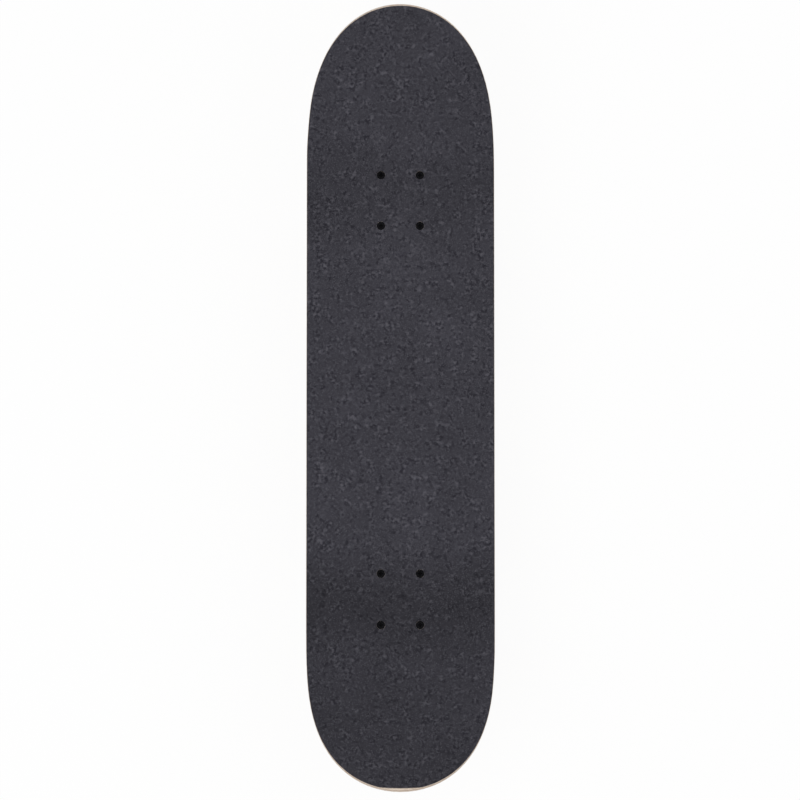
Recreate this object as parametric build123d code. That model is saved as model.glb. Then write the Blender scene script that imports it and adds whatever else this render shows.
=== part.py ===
from build123d import *
import os
from math import asin, cos, degrees, hypot, radians, sin, sqrt, tan

os.makedirs("parts", exist_ok=True)

# A complete street skateboard. X runs across the board, +Y to the nose, +Z up.
# It stands on its wheels at z = 0, and its origin is midway between its two tips.
# Everything is in millimetres and degrees.

# ---- deck -------------------------------------------------------------------
deck_width = 198.6            # widest, between the straight sides
wheelbase = 368.3             # between the inner rows of truck bolts
bolt_pitch_along = 53.98      # truck bolt rectangle, along the board
bolt_pitch_across = 41.28     # and across it
nose_reach = 172.0            # outer bolt row to the nose's tip, seen from above
tail_reach = 168.0
nose_angle = 21.0             # how steeply each end is turned up
tail_angle = 20.0
bend_radius = 95.0            # of the turn from the flat into each end, on the top face
bend_past_bolts = 28.0        # outer bolt row to the start of that turn
nose_taper = 174.0            # length over which the outline narrows to the tip
tail_taper = 170.0
nose_power = 2.7              # fullness of the outline: 2 is an ellipse, more is squarer
tail_power = 3.1
flat_half_width = 30.0        # half of the flat strip along the middle
concave_radius = 374.0        # of the dished sides, on the top face
ply_thicknesses = (1.45, 1.6, 1.6, 1.6, 1.6, 1.6, 1.45)
ply_names = (
    "deck_ply_1_face", "deck_ply_2_cross", "deck_ply_3_core", "deck_ply_4_core",
    "deck_ply_5_core", "deck_ply_6_cross", "deck_ply_7_bottom",
)
edge_round = 3.2              # radius on the lower rim of the deck
grip_thickness = 0.8
grip_inset = 0.4              # the grip is trimmed this far inside the deck's rim
outline_points = 9            # interpolated points on each half of a tip
side_margin = 12.0            # blank past each side, cut off by the outline
end_margin = 1.25             # blank past each tip, as a share of the reach

# ---- deck bolts -------------------------------------------------------------
bolt_diameter = 4.76
bolt_length = 25.4
bolt_head_diameter = 8.8
bolt_head_angle = 82.0        # whole angle of the countersink
bolt_head_land = 0.25         # short straight rim of the head
bolt_head_proud = 0.15        # above the wood, inside the grip's hole
bolt_tip_chamfer = 0.5
recess_span = 4.8             # cross recess, tip to tip
recess_width = 1.0
recess_depth = 1.9
recess_tip = 1.4              # width left at the foot of the recess
deck_nut_flats = 9.5
deck_nut_height = 4.3
deck_nut_collar = 1.6         # height of the nylon collar
bolt_hole_clearance = 0.22    # radial, through wood and baseplate
head_clearance = 0.06         # between a head and its countersink
grip_hole_clearance = 0.12
nut_thread_fit = 0.02         # radial, between a nut and its thread
nut_face_ring = 0.4           # how far a nut's turned-off corners reach inside its flats
collar_step = 0.4             # a nylon collar stands this far inside the flats
collar_ease = 0.5

# ---- wheels and bearings ----------------------------------------------------
wheel_diameter = 52.0
wheel_width = 31.0
tread_width = 18.0
wheel_side_diameter = 39.0    # flat ring on each side, outer edge
wheel_dish_diameter = 34.0    # dished face round the bearing, outer edge
wheel_dish_depth = 1.4
lip_chamfer = 1.6             # opening of the bearing seat
bearing_bore = 8.0
bearing_outside = 22.0
bearing_width = 7.0
ball_diameter = 3.969
ball_count = 7
pitch_diameter = 15.0         # circle of the ball centres
inner_shoulder = 12.1         # outside of the inner ring
outer_shoulder = 19.2         # inside of the outer ring
groove_clearance = 0.045
ring_ease = 0.35
cage_wall = 2.0               # radial
cage_clearance = 0.1
cage_height = 1.1             # past the ball centres
shield_thickness = 0.3
shield_inset = 0.25           # from the bearing's face
shield_clearance = 0.3
spacer_length = 10.0
spacer_diameter = 10.4
seat_shoulder_clearance = 1.2  # wheel's middle bore, inside the bearing's outer edge

# ---- axle -------------------------------------------------------------------
hanger_width = 130.0
axle_diameter = 7.94
axle_fit = 0.03
washer_thickness = 0.8
washer_diameter = 11.4
axle_nut_flats = 13.0
axle_nut_height = 6.4
axle_nut_collar = 1.7
axle_end = 1.2                # thread left showing past the nut
axle_end_chamfer = 0.6

# ---- trucks, seen from the axle: +Y away from the board's middle, +Z up ------
truck_height = 53.0           # axle centre to the deck
axle_from_bolts = 0.0         # axle centre to the middle of the bolt rectangle
ring_back = 18.0              # bushing ring's centre, behind the axle
ring_rise = 16.0              # and above it
steering_angle = 24.0         # slope of the steering axis
kingpin_angle = 12.0          # lean of the kingpin
pivot_span = 44.0             # ring's centre to the pivot's ball

plate_length = 80.0
plate_width = 57.0
plate_thickness = 5.5
plate_corner = 7.0
kingpin_diameter = 9.5
kingpin_flats = 14.3
kingpin_head = 4.8
kingpin_nut_height = 7.6
kingpin_nut_collar = 1.6
kingpin_end = 1.6
kingpin_fit = 0.15
boss_radius = 12.6
boss_height = 9.0             # from under the kingpin's head to the bushing's seat
cup_washer_thickness = 1.5
big_washer_diameter = 24.4
small_washer_diameter = 18.6
cup_rim = 1.0                 # how far a cup washer's rim stands over its bushing
cup_rim_wall = 0.9
bushing_ease = 1.0            # eased rims of a bushing
barrel_taper = 0.6            # how much narrower a barrel bushing is at its board end
bushing_diameter = 22.6
barrel_height = 15.0
cone_height = 10.0
cone_end_diameter = 16.2
bushing_bore_clearance = 0.35
ring_thickness = 9.0          # between the two bushing seats
ring_rim = 1.2                # rim round each seat
ring_radius = 15.2
ring_bore = 15.6
seat_clearance = 0.35
beam_radius = 9.3             # hanger's axle housing at its middle
beam_end_radius = 8.2
beam_middle = 16.0            # half of the housing's thickest stretch
web_thickness = 9.0
web_reach = 62.0              # half of the web's width along the axle
web_top = 13.6                # half of its width at the ring
web_hollow = 2.0              # how far its flanks are hollowed
gusset_thickness = 10.0
gusset_foot = 7.4             # how far its foot reaches past the axle's middle
pivot_ball = 5.8
pivot_root = 7.4
pivot_start = 9.0             # pivot arm's root, from the ring's centre
pivot_neck = 9.0              # straight stretch behind the pivot's ball
pivot_cup_wall = 2.2
pivot_cup_depth = 7.0         # from the ball's centre to the cup's mouth
pivot_clearance = 0.08
housing_wall = 3.2
pedestal_foot = (25.0, 27.0, 5.0)   # under the plate: width, length, corner radius
pedestal_head = (18.0, 16.0, 4.0)   # inside the pivot housing
rib_thickness = 7.0
plate_chamfer = 1.2
kingpin_tip_chamfer = 0.8

# ---- worked out from those --------------------------------------------------
deck_thickness = sum(ply_thicknesses)
half_width = deck_width / 2
wheel_radius = wheel_diameter / 2
deck_underside = wheel_radius + truck_height
deck_top = deck_underside + deck_thickness
bolt_row = wheelbase / 2 + bolt_pitch_along / 2
outer_row = wheelbase / 2 + bolt_pitch_along
bend_start = outer_row + bend_past_bolts
bearing_inner_x = hanger_width / 2 + washer_thickness
bearing_outer_x = bearing_inner_x + bearing_width + spacer_length
wheel_x = bearing_inner_x + bearing_width + spacer_length / 2
outer_washer_x = bearing_outer_x + bearing_width
axle_nut_x = outer_washer_x + washer_thickness
axle_half = axle_nut_x + axle_nut_height + axle_end
steering_axis = Vector(0, cos(radians(steering_angle)), sin(radians(steering_angle)))
kingpin_up = Vector(0, sin(radians(kingpin_angle)), cos(radians(kingpin_angle)))
ring_centre = Vector(0, -ring_back, ring_rise)
seat_to_ring = cup_washer_thickness + barrel_height + ring_thickness / 2
boss_seat = ring_centre + kingpin_up * seat_to_ring
through = 3 * (deck_thickness + plate_thickness)   # length of a drill that goes right through


# ---- shared shapes ----------------------------------------------------------
def plane_at(point, normal, x_dir=(1, 0, 0)):
    return Plane(origin=point, x_dir=x_dir, z_dir=normal)


def rod(plane, radius, low, high):
    """A round bar along the plane's normal, from low to high."""
    return plane * Pos(0, 0, low) * Cylinder(
        radius, high - low, align=(Align.CENTER, Align.CENTER, Align.MIN)
    )


def turned(points):
    """A solid turned about local Z from (radius, height) corners."""
    profile = make_face(Plane.XZ * Polyline(*points, close=True))
    return revolve(profile, Axis.Z)


def hexagon(flats, height):
    """A hexagon with its corners turned off at both ends."""
    shape = extrude(RegularPolygon(flats / 2, 6, major_radius=False), height)
    corner = flats / sqrt(3)
    bevel = corner - flats / 2 + nut_face_ring
    drop = bevel / 2
    cap = turned([
        (0, 0), (corner - bevel, 0), (corner, drop),
        (corner, height - drop), (corner - bevel, height), (0, height),
    ])
    return shape & cap


def lock_nut(flats, height, collar, bore):
    """A hexagon nut with a round nylon-insert collar on top."""
    collar_radius = flats / 2 - collar_step
    foot = height - collar - collar_step
    body = hexagon(flats, height - collar)
    body += turned([
        (0, foot), (collar_radius, foot), (collar_radius, height - collar_ease),
        (collar_radius - collar_ease, height), (0, height),
    ])
    return body - Cylinder(bore / 2, height * 3)


# ---- deck -------------------------------------------------------------------
def section(depth_low, depth_high):
    """Cross-section of the layer between two depths under the top face."""
    spread = degrees(asin((half_width + side_margin - flat_half_width) / concave_radius))

    def side(depth, hand):
        start = 270 if hand > 0 else 270 - spread
        return CenterArc(
            (hand * flat_half_width, concave_radius), concave_radius + depth, start, spread
        )

    edges = []
    for depth in (depth_low, depth_high):
        edges.append(Line((-flat_half_width, -depth), (flat_half_width, -depth)))
        edges += [side(depth, 1), side(depth, -1)]
    for hand in (1, -1):
        reach = sin(radians(spread))
        rise = cos(radians(spread))
        ends = []
        for depth in (depth_low, depth_high):
            radius = concave_radius + depth
            x = hand * (flat_half_width + radius * reach)
            ends.append((x, concave_radius - radius * rise))
        edges.append(Line(*ends))
    return make_face(edges)


def bent_layer(depth_low, depth_high):
    """A layer of the deck, along the flat, round both bends and up both ends."""
    face = section(depth_low, depth_high)
    flat = extrude(Plane.XZ * face, bend_start, both=True)
    solid = Pos(0, 0, deck_top) * flat
    for hand, angle, reach in ((1, nose_angle, nose_reach), (-1, tail_angle, tail_reach)):
        foot = Location((0, hand * bend_start, deck_top)) * (Plane.XZ * face)
        axis = Axis((0, hand * bend_start, deck_top + bend_radius), (hand, 0, 0))
        bend = revolve(foot, axis, angle)
        up = foot.rotate(axis, angle)
        along = Vector(0, hand * cos(radians(angle)), sin(radians(angle)))
        end = extrude(up, reach * end_margin, dir=along)
        solid = solid + bend + end
    return solid


def tip_height(reach, angle):
    """Height of the top face at a tip."""
    turn = bend_radius * sin(radians(angle))
    rise = bend_radius * (1 - cos(radians(angle)))
    return deck_top + rise + (reach - bend_past_bolts - turn) * tan(radians(angle))


def outline(level, inset):
    """The deck's outline at one level. The ends lean back, square to the turned-up plies."""
    ends = []
    for hand, reach, angle, taper, power in (
        (1, nose_reach, nose_angle, nose_taper, nose_power),
        (-1, tail_reach, tail_angle, tail_taper, tail_power),
    ):
        lean = (tip_height(reach, angle) - level) * tan(radians(angle))
        length = taper + lean - inset
        start = outer_row + reach - taper
        width = half_width - inset
        half = []
        for step in range(outline_points):
            share = 1 - (1 - step / outline_points) ** 2
            half.append((width * sqrt(1 - share ** power), start + share * length))
        tip = [(0, start + length)]
        points = half + tip + [(-x, y) for x, y in reversed(half)]
        if hand < 0:
            points = [(-x, -y) for x, y in points]
        ends.append(points)
    nose, tail = ends
    return make_face([
        Spline(*nose, tangents=((0, 1), (0, -1))),
        Line(nose[-1], tail[0]),
        Spline(*tail, tangents=((0, -1), (0, 1))),
        Line(tail[-1], nose[0]),
    ])


def cutter(inset):
    """Everything inside the outline, from below the deck to above its tips."""
    margin = 2 * deck_thickness
    tips = (tip_height(nose_reach, nose_angle), tip_height(tail_reach, tail_angle))
    low = deck_underside - margin
    high = max(tips) + margin
    faces = [Pos(0, 0, level) * outline(level, inset) for level in (low, high)]
    return loft(faces, ruled=True)


def bolt_places():
    places = []
    for hand in (1, -1):
        for along in (-1, 1):
            for across in (-1, 1):
                x = across * bolt_pitch_across / 2
                y = hand * bolt_row + along * bolt_pitch_along / 2
                places.append((x, y))
    return places


head_radius = bolt_head_diameter / 2
head_top = deck_top + bolt_head_proud
half_head_angle = radians(bolt_head_angle / 2)


def countersunk(clearance):
    """Head and shank of a deck bolt, pointing down from z = 0, or the hole that takes it."""
    radius = head_radius + clearance
    shank = bolt_diameter / 2
    depth = bolt_head_land + (head_radius - shank) / tan(half_head_angle)
    top = grip_thickness if clearance else 0
    return turned([
        (0, top), (radius, top), (radius, -bolt_head_land), (shank + clearance, -depth),
        (shank + clearance, -bolt_length), (0, -bolt_length),
    ])


def make_deck():
    blank = bent_layer(0, deck_thickness) & cutter(0)
    under = [f for f in blank.faces() if f.normal_at(f.center()).Z < -0.5]
    shared = []
    for face in under:
        shared += face.edges()
    rim = [e for e in shared if sum(e.is_same(other) for other in shared) == 1]
    blank = fillet(rim, edge_round)
    drill = bolt_diameter / 2 + bolt_hole_clearance
    sink = countersunk(head_clearance)
    for x, y in bolt_places():
        blank -= Pos(x, y, deck_underside) * Cylinder(drill, through)
        blank -= Pos(x, y, head_top) * sink
    return blank


def make_plies(blank):
    plies = {}
    depth = 0
    last = len(ply_names) - 1
    spill = 2.0
    for number, (name, thickness) in enumerate(zip(ply_names, ply_thicknesses)):
        low = depth - spill if number == 0 else depth
        high = depth + thickness + (spill if number == last else 0)
        plies[name] = bent_layer(low, high) & blank
        depth += thickness
    return plies


def make_grip():
    grip = bent_layer(-grip_thickness, 0) & cutter(grip_inset)
    for x, y in bolt_places():
        grip -= Pos(x, y, deck_top) * Cylinder(head_radius + grip_hole_clearance, through)
    return grip


def make_bolts():
    recess = Box(recess_span, recess_width, recess_depth * 2)
    recess += Box(recess_width, recess_span, recess_depth * 2)
    recess &= turned([
        (0, -recess_depth), (recess_tip / 2, -recess_depth),
        (recess_span / 2, 0), (recess_span / 2, recess_depth), (0, recess_depth),
    ])
    bolt = countersunk(0) - recess
    bolt = chamfer(bolt.edges().sort_by(Axis.Z)[0], bolt_tip_chamfer)
    nut = lock_nut(deck_nut_flats, deck_nut_height + deck_nut_collar, deck_nut_collar,
                   bolt_diameter + 2 * nut_thread_fit)
    nut_top = deck_underside - plate_thickness
    bolts = [Pos(x, y, head_top) * bolt for x, y in bolt_places()]
    nuts = [Pos(x, y, nut_top) * Rot(180, 0, 0) * nut for x, y in bolt_places()]
    return Compound(bolts), Compound(nuts)


# ---- truck ------------------------------------------------------------------
kingpin_plane = plane_at(ring_centre, kingpin_up)
steering_plane = plane_at(ring_centre, steering_axis)
half_ring = ring_thickness / 2
head_at = seat_to_ring + boss_height
cone_at = -half_ring - cone_height
nut_at = cone_at - cup_washer_thickness


def make_baseplate():
    under = truck_height - plate_thickness
    middle_y = -axle_from_bolts
    plate = extrude(
        Pos(0, middle_y, under) * RectangleRounded(plate_width, plate_length, plate_corner),
        plate_thickness,
    )
    plate = chamfer(plate.edges().group_by(Axis.Z)[0], plate_chamfer)
    drill = Cylinder(bolt_diameter / 2 + bolt_hole_clearance, through)
    for along in (-1, 1):
        for across in (-1, 1):
            x = across * bolt_pitch_across / 2
            y = middle_y + along * bolt_pitch_along / 2
            plate -= Pos(x, y, truck_height) * drill

    # kingpin boss, square to the kingpin and stopped at the plate's top
    boss = rod(kingpin_plane, boss_radius, seat_to_ring, head_at + plate_thickness)
    # pivot housing along the steering axis, on a pedestal that widens up to the plate
    cup_radius = pivot_ball + pivot_clearance + pivot_cup_wall
    outside = cup_radius + housing_wall
    mouth = pivot_span - pivot_cup_depth
    floor = pivot_span + cup_radius
    back = floor + housing_wall
    housing = rod(steering_plane, outside, mouth, back)
    middle = ring_centre + steering_axis * ((mouth + back) / 2)
    foot = Pos(0, middle.Y, under + plate_chamfer) * RectangleRounded(*pedestal_foot)
    head = Pos(0, middle.Y, middle.Z) * RectangleRounded(*pedestal_head)
    pedestal = loft([head, foot], ruled=True)
    # rib that ties the boss to the housing
    front = ring_centre + steering_axis * mouth
    rib_side = Polyline(
        (boss_seat.Y, under + plate_chamfer), (boss_seat.Y, boss_seat.Z + rib_thickness / 2),
        (front.Y, front.Z + outside), (front.Y, under + plate_chamfer), close=True,
    )
    rib = extrude(Plane.YZ * make_face(rib_side), rib_thickness / 2, both=True)
    body = plate + boss + housing + pedestal + rib
    above = Box(2 * plate_width, 2 * plate_length, 2 * through)
    body -= Pos(0, 0, truck_height + through) * above
    body -= rod(steering_plane, cup_radius, 0, floor)
    body -= rod(kingpin_plane, kingpin_diameter / 2 + kingpin_fit, 0, head_at + kingpin_head)
    pocket = RegularPolygon(kingpin_flats / 2 + kingpin_fit, 6, major_radius=False)
    return body - extrude(kingpin_plane * Pos(0, 0, head_at) * pocket, through)


def make_pivot_cup():
    radius = pivot_ball + pivot_clearance
    outside = radius + pivot_cup_wall
    cup = rod(steering_plane, outside, pivot_span - pivot_cup_depth,
              pivot_span + radius + pivot_cup_wall)
    cup -= rod(steering_plane, radius, 0, pivot_span)
    return cup - steering_plane * Pos(0, 0, pivot_span) * Sphere(radius)


def make_kingpin():
    tip = nut_at - kingpin_nut_height - kingpin_end
    pin = rod(kingpin_plane, kingpin_diameter / 2, tip, head_at + kingpin_head / 2)
    pin = chamfer(pin.edges().filter_by(GeomType.CIRCLE).sort_by(Axis.Z)[0], kingpin_tip_chamfer)
    head = kingpin_plane * Pos(0, 0, head_at) * hexagon(kingpin_flats, kingpin_head)
    nut = kingpin_plane * Pos(0, 0, nut_at) * Rot(180, 0, 0) * lock_nut(
        kingpin_flats, kingpin_nut_height, kingpin_nut_collar,
        kingpin_diameter + 2 * nut_thread_fit
    )
    return pin + head, nut


def cup_washer(diameter):
    """A dished washer that lies on z = 0 and hugs a bushing above it."""
    outer = diameter / 2
    inner = kingpin_diameter / 2 + kingpin_fit
    lip = outer - cup_rim_wall
    under = -cup_washer_thickness
    return turned([
        (inner, under), (lip, under), (outer, under + cup_rim_wall), (outer, cup_rim),
        (lip, cup_rim), (lip, 0), (inner, 0),
    ])


def bushing(low_diameter, high_diameter, height):
    """A urethane bushing with eased rims and a bore for the kingpin."""
    ease = bushing_ease
    low = low_diameter / 2
    high = high_diameter / 2
    inner = kingpin_diameter / 2 + bushing_bore_clearance
    return turned([
        (inner, 0), (low - ease, 0), (low, ease), (high, height - ease),
        (high - ease, height), (inner, height),
    ])


def make_bushings():
    flip = Rot(180, 0, 0)
    barrel = kingpin_plane * Pos(0, 0, half_ring) * bushing(
        bushing_diameter, bushing_diameter - barrel_taper, barrel_height)
    cone = kingpin_plane * Pos(0, 0, -half_ring) * flip * bushing(
        bushing_diameter, cone_end_diameter, cone_height)
    big = kingpin_plane * Pos(0, 0, half_ring + barrel_height) * flip * cup_washer(
        big_washer_diameter)
    small = kingpin_plane * Pos(0, 0, cone_at) * cup_washer(small_washer_diameter)
    return barrel, cone, big, small


def make_hanger():
    half = hanger_width / 2
    beam = Rot(0, 90, 0) * turned([
        (0, -half), (beam_end_radius, -half), (beam_radius, -beam_middle),
        (beam_radius, beam_middle), (beam_end_radius, half), (0, half),
    ])
    # bushing ring with a rim round each seat
    ring = rod(kingpin_plane, ring_radius, -half_ring - ring_rim, half_ring + ring_rim)
    # web: a wing on each side, from the axle housing up to the ring, with hollowed flanks
    span = hypot(ring_back, ring_rise)
    web_up = Vector(0, -ring_back / span, ring_rise / span)
    web_plane = Plane(origin=(0, 0, 0), x_dir=(1, 0, 0), z_dir=Vector(1, 0, 0).cross(web_up))
    flank = hypot(web_reach - web_top, span)
    hollow_x = (web_reach + web_top) / 2 - web_hollow * span / flank
    hollow_y = span / 2 - web_hollow * (web_reach - web_top) / flank
    web_face = make_face([
        Line((-web_reach, 0), (web_reach, 0)),
        ThreePointArc((web_reach, 0), (hollow_x, hollow_y), (web_top, span)),
        Line((web_top, span), (-web_top, span)),
        ThreePointArc((-web_top, span), (-hollow_x, hollow_y), (-web_reach, 0)),
    ])
    web = extrude(web_plane * web_face, web_thickness / 2, both=True)
    # pivot arm, a cone that ends in a ball
    neck_start = pivot_span - pivot_neck
    arm = steering_plane * Pos(0, 0, pivot_start) * Cone(
        pivot_root, pivot_ball, neck_start - pivot_start,
        align=(Align.CENTER, Align.CENTER, Align.MIN))
    arm += rod(steering_plane, pivot_ball, neck_start, pivot_span)
    arm += steering_plane * Pos(0, 0, pivot_span) * Sphere(pivot_ball)
    # gusset between the axle housing, the ring and the arm
    tip = ring_centre + steering_axis * neck_start
    gusset_side = Polyline(
        (0, 0), (-ring_back / 2, ring_rise), (0, ring_rise + pivot_root),
        (tip.Y, tip.Z), (gusset_foot, 0), close=True,
    )
    gusset = extrude(Plane.YZ * make_face(gusset_side), gusset_thickness / 2, both=True)
    body = beam + web + ring + arm + gusset
    seat = bushing_diameter / 2 + seat_clearance
    body -= rod(kingpin_plane, seat, half_ring, half_ring + barrel_height)
    body -= rod(kingpin_plane, seat, -half_ring - barrel_height, -half_ring)
    body -= rod(kingpin_plane, ring_bore / 2, -ring_thickness, ring_thickness)
    return body - Rot(0, 90, 0) * Cylinder(axle_diameter / 2 + axle_fit, 2 * hanger_width)


def both_ends(shape):
    """The same piece at the axle's +X end and turned over to its -X end."""
    return [shape, Rot(0, 0, 180) * shape]


along_x = Rot(0, 90, 0)


def make_axle_parts():
    bar = along_x * Cylinder(axle_diameter / 2, axle_half * 2)
    bar = chamfer(bar.edges().filter_by(GeomType.CIRCLE), axle_end_chamfer)
    nut = Pos(axle_nut_x, 0, 0) * along_x * lock_nut(
        axle_nut_flats, axle_nut_height, axle_nut_collar, axle_diameter + 2 * nut_thread_fit)
    washers = []
    inner = bearing_bore / 2 + axle_fit
    outer = washer_diameter / 2
    washer = along_x * turned([
        (inner, 0), (outer, 0), (outer, washer_thickness), (inner, washer_thickness),
    ])
    for x in (hanger_width / 2, outer_washer_x):
        washers += both_ends(Pos(x, 0, 0) * washer)
    return bar, Compound(both_ends(nut)), Compound(washers)


# ---- bearings and wheels, about local Z at the bearing's own middle ----------
ball_radius = ball_diameter / 2
pitch_radius = pitch_diameter / 2
half_bearing = bearing_width / 2


def raceway():
    return Torus(pitch_radius, ball_radius + groove_clearance)


def ring_shape(inner, outer):
    ease = ring_ease
    if inner * 2 == bearing_bore:
        corners = [(inner, -half_bearing + ease), (inner + ease, -half_bearing),
                   (outer, -half_bearing), (outer, half_bearing),
                   (inner + ease, half_bearing), (inner, half_bearing - ease)]
    else:
        corners = [(inner, -half_bearing), (outer - ease, -half_bearing),
                   (outer, -half_bearing + ease), (outer, half_bearing - ease),
                   (outer - ease, half_bearing), (inner, half_bearing)]
    return turned(corners) - raceway()


def balls():
    ball = Sphere(ball_radius)
    return [Rot(0, 0, 360 * n / ball_count) * Pos(pitch_radius, 0, 0) * ball
            for n in range(ball_count)]


def cage():
    low = -half_bearing + shield_inset + shield_thickness + 2 * cage_clearance
    inner = pitch_radius - cage_wall / 2
    outer = pitch_radius + cage_wall / 2
    high = cage_height
    crown = turned([(inner, low), (outer, low), (outer, high), (inner, high)])
    pocket = Sphere(ball_radius + cage_clearance)
    for n in range(ball_count):
        crown -= Rot(0, 0, 360 * n / ball_count) * Pos(pitch_radius, 0, 0) * pocket
    return crown


def shield():
    inner = inner_shoulder / 2 + shield_clearance
    face = half_bearing - shield_inset
    return turned([(inner, face - shield_thickness), (outer_shoulder / 2, face - shield_thickness),
                   (outer_shoulder / 2, face), (inner, face)])


def wheel_body():
    half = wheel_width / 2
    seat = bearing_outside / 2
    seat_start = spacer_length / 2
    middle = seat - seat_shoulder_clearance
    side = wheel_side_diameter / 2
    dish = wheel_dish_diameter / 2
    face = half - wheel_dish_depth
    tread = tread_width / 2

    def corner(x, radius):
        return (radius, x)

    profile = [
        Line(corner(-tread, wheel_radius), corner(tread, wheel_radius)),
    ]
    for hand in (-1, 1):
        start = corner(hand * tread, wheel_radius)
        end = corner(hand * half, side)
        profile.append(TangentArc(start, end, tangent=(0, hand)))
        profile += Polyline(
            end, corner(hand * half, dish), corner(hand * face, seat + lip_chamfer),
            corner(hand * (face - lip_chamfer), seat), corner(hand * seat_start, seat),
            corner(hand * seat_start, middle),
        ).edges()
    profile.append(Line(corner(-seat_start, middle), corner(seat_start, middle)))
    return revolve(Plane.XZ * make_face(profile), Axis.Z)


bearing_spots = (bearing_inner_x + half_bearing, bearing_outer_x + half_bearing)


def wheel_side(hand, shape, x):
    """Puts a shape made about Z on the axle at +x or -x."""
    return Pos(hand * x, 0, 0) * Rot(0, hand * 90, 0) * shape


def make_wheel(hand):
    rings = []
    ball_set = []
    cages = []
    shields = []
    outer_ring = ring_shape(outer_shoulder / 2, bearing_outside / 2)
    for x in bearing_spots:
        rings.append(wheel_side(hand, outer_ring, x))
        ball_set += [wheel_side(hand, ball, x) for ball in balls()]
        cages.append(wheel_side(hand, cage(), x))
        shields.append(wheel_side(hand, shield(), x))
        shields.append(wheel_side(hand, Rot(180, 0, 0) * shield(), x))
    return {
        "wheel": wheel_side(hand, wheel_body(), wheel_x),
        "outer_rings": Compound(rings),
        "balls": Compound(ball_set),
        "cages": Compound(cages),
        "shields": Compound(shields),
    }


def make_axle_bearings():
    ring = ring_shape(bearing_bore / 2, inner_shoulder / 2)
    rings = []
    spacers = []
    tube = Cylinder(spacer_diameter / 2, spacer_length)
    tube -= Cylinder(bearing_bore / 2 + axle_fit, 2 * spacer_length)
    for hand in (1, -1):
        for x in bearing_spots:
            rings.append(wheel_side(hand, ring, x))
        spacers.append(wheel_side(hand, tube, wheel_x))
    return Compound(rings), Compound(spacers)


# ---- assembly ---------------------------------------------------------------
blank = make_deck()
box = blank.bounding_box()
board_middle = (box.min.Y + box.max.Y) / 2
nodes = make_plies(blank)
nodes["grip_tape"] = make_grip()
nodes["deck_bolts"], nodes["deck_lock_nuts"] = make_bolts()

kingpin, kingpin_nut = make_kingpin()
barrel, cone, big_washer, small_washer = make_bushings()
axle, axle_nuts, speed_washers = make_axle_parts()
inner_rings, spacers = make_axle_bearings()
truck = {
    "baseplate": make_baseplate(),
    "pivot_cup": make_pivot_cup(),
    "kingpin": kingpin,
    "kingpin_nut": kingpin_nut,
    "barrel_bushing": barrel,
    "cone_bushing": cone,
    "board_side_cup_washer": big_washer,
    "road_side_cup_washer": small_washer,
    "hanger": make_hanger(),
    "axle": axle,
    "axle_nuts": axle_nuts,
    "speed_washers": speed_washers,
    "inner_rings": inner_rings,
    "bearing_spacers": spacers,
}
for hand in (1, -1):
    for name, piece in make_wheel(hand).items():
        truck[("right_" if hand > 0 else "left_") + name] = piece

axle_y = bolt_row + axle_from_bolts
for end, hand, turn in (("front", 1, 0), ("rear", -1, 180)):
    spot = Pos(0, hand * axle_y, wheel_radius) * Rot(0, 0, turn)
    for name, piece in truck.items():
        # turning the rear truck round swaps its sides
        if hand < 0 and name.startswith(("right_", "left_")):
            side, rest = name.split("_", 1)
            name = ("left_" if side == "right" else "right_") + rest
        nodes[end + "_" + name] = spot * piece

for name, piece in nodes.items():
    export_step(Pos(0, -board_middle, 0) * piece, "parts/" + name + ".step")

print("nodes", len(nodes), "board middle", round(board_middle, 4))
for hand, end in ((1, "front"), (-1, "rear")):
    y = hand * axle_y - board_middle
    print(end, "axle at y", round(y, 4), "z", wheel_radius)
    pivot = Vector(0, y + hand * ring_centre.Y, wheel_radius + ring_centre.Z)
    print(end, "steering axis through", pivot, "along", 0, hand * steering_axis.Y, steering_axis.Z)
print("wheel x", wheel_x, "axle half", axle_half, "tips", box.min.Y, box.max.Y, "top", box.max.Z)
print("cage ratio", 0.5 * (1 + ball_diameter / pitch_diameter))
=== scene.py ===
import math
import bmesh
import bpy
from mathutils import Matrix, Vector


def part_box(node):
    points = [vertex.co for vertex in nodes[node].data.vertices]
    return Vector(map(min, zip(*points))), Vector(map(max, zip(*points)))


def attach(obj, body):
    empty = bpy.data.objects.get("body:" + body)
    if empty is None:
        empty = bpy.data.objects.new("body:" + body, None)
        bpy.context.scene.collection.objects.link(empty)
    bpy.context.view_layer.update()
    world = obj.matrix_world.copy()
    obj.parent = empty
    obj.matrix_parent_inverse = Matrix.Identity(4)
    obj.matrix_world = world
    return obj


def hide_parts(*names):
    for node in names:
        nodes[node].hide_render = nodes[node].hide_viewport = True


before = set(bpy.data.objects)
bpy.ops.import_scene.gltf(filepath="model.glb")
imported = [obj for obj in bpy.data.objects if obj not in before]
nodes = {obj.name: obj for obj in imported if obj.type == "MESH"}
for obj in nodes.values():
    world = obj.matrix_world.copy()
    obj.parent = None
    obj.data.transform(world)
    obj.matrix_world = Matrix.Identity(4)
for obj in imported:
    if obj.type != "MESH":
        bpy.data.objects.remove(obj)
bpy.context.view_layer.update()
print("frame loaded:", len(nodes), "nodes")

mm = 0.001
ends = {"front": 1, "rear": -1}

# where the trucks and their hardware stand, in millimetres, with +Y to the nose
layout = {
    "boltMiddle": -2.0727,      # midway between the two trucks
    "boltRow": 211.14,          # that middle to each axle
    "boltAlong": 53.98,
    "boltAcross": 41.28,
    "axleHeight": 26.0,
    "ringCentre": (0.0, -18.0, 16.0),
    "kingpinLean": 12.0,
    "kingpinNutFoot": 23.6,     # along the kingpin from the ring's centre
}


def linear(hexColour, alpha=1.0):
    shares = [int(hexColour[i:i + 2], 16) / 255 for i in (0, 2, 4)]
    return tuple(
        s / 12.92 if s <= 0.04045 else ((s + 0.055) / 1.055) ** 2.4 for s in shares
    ) + (alpha,)


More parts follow.
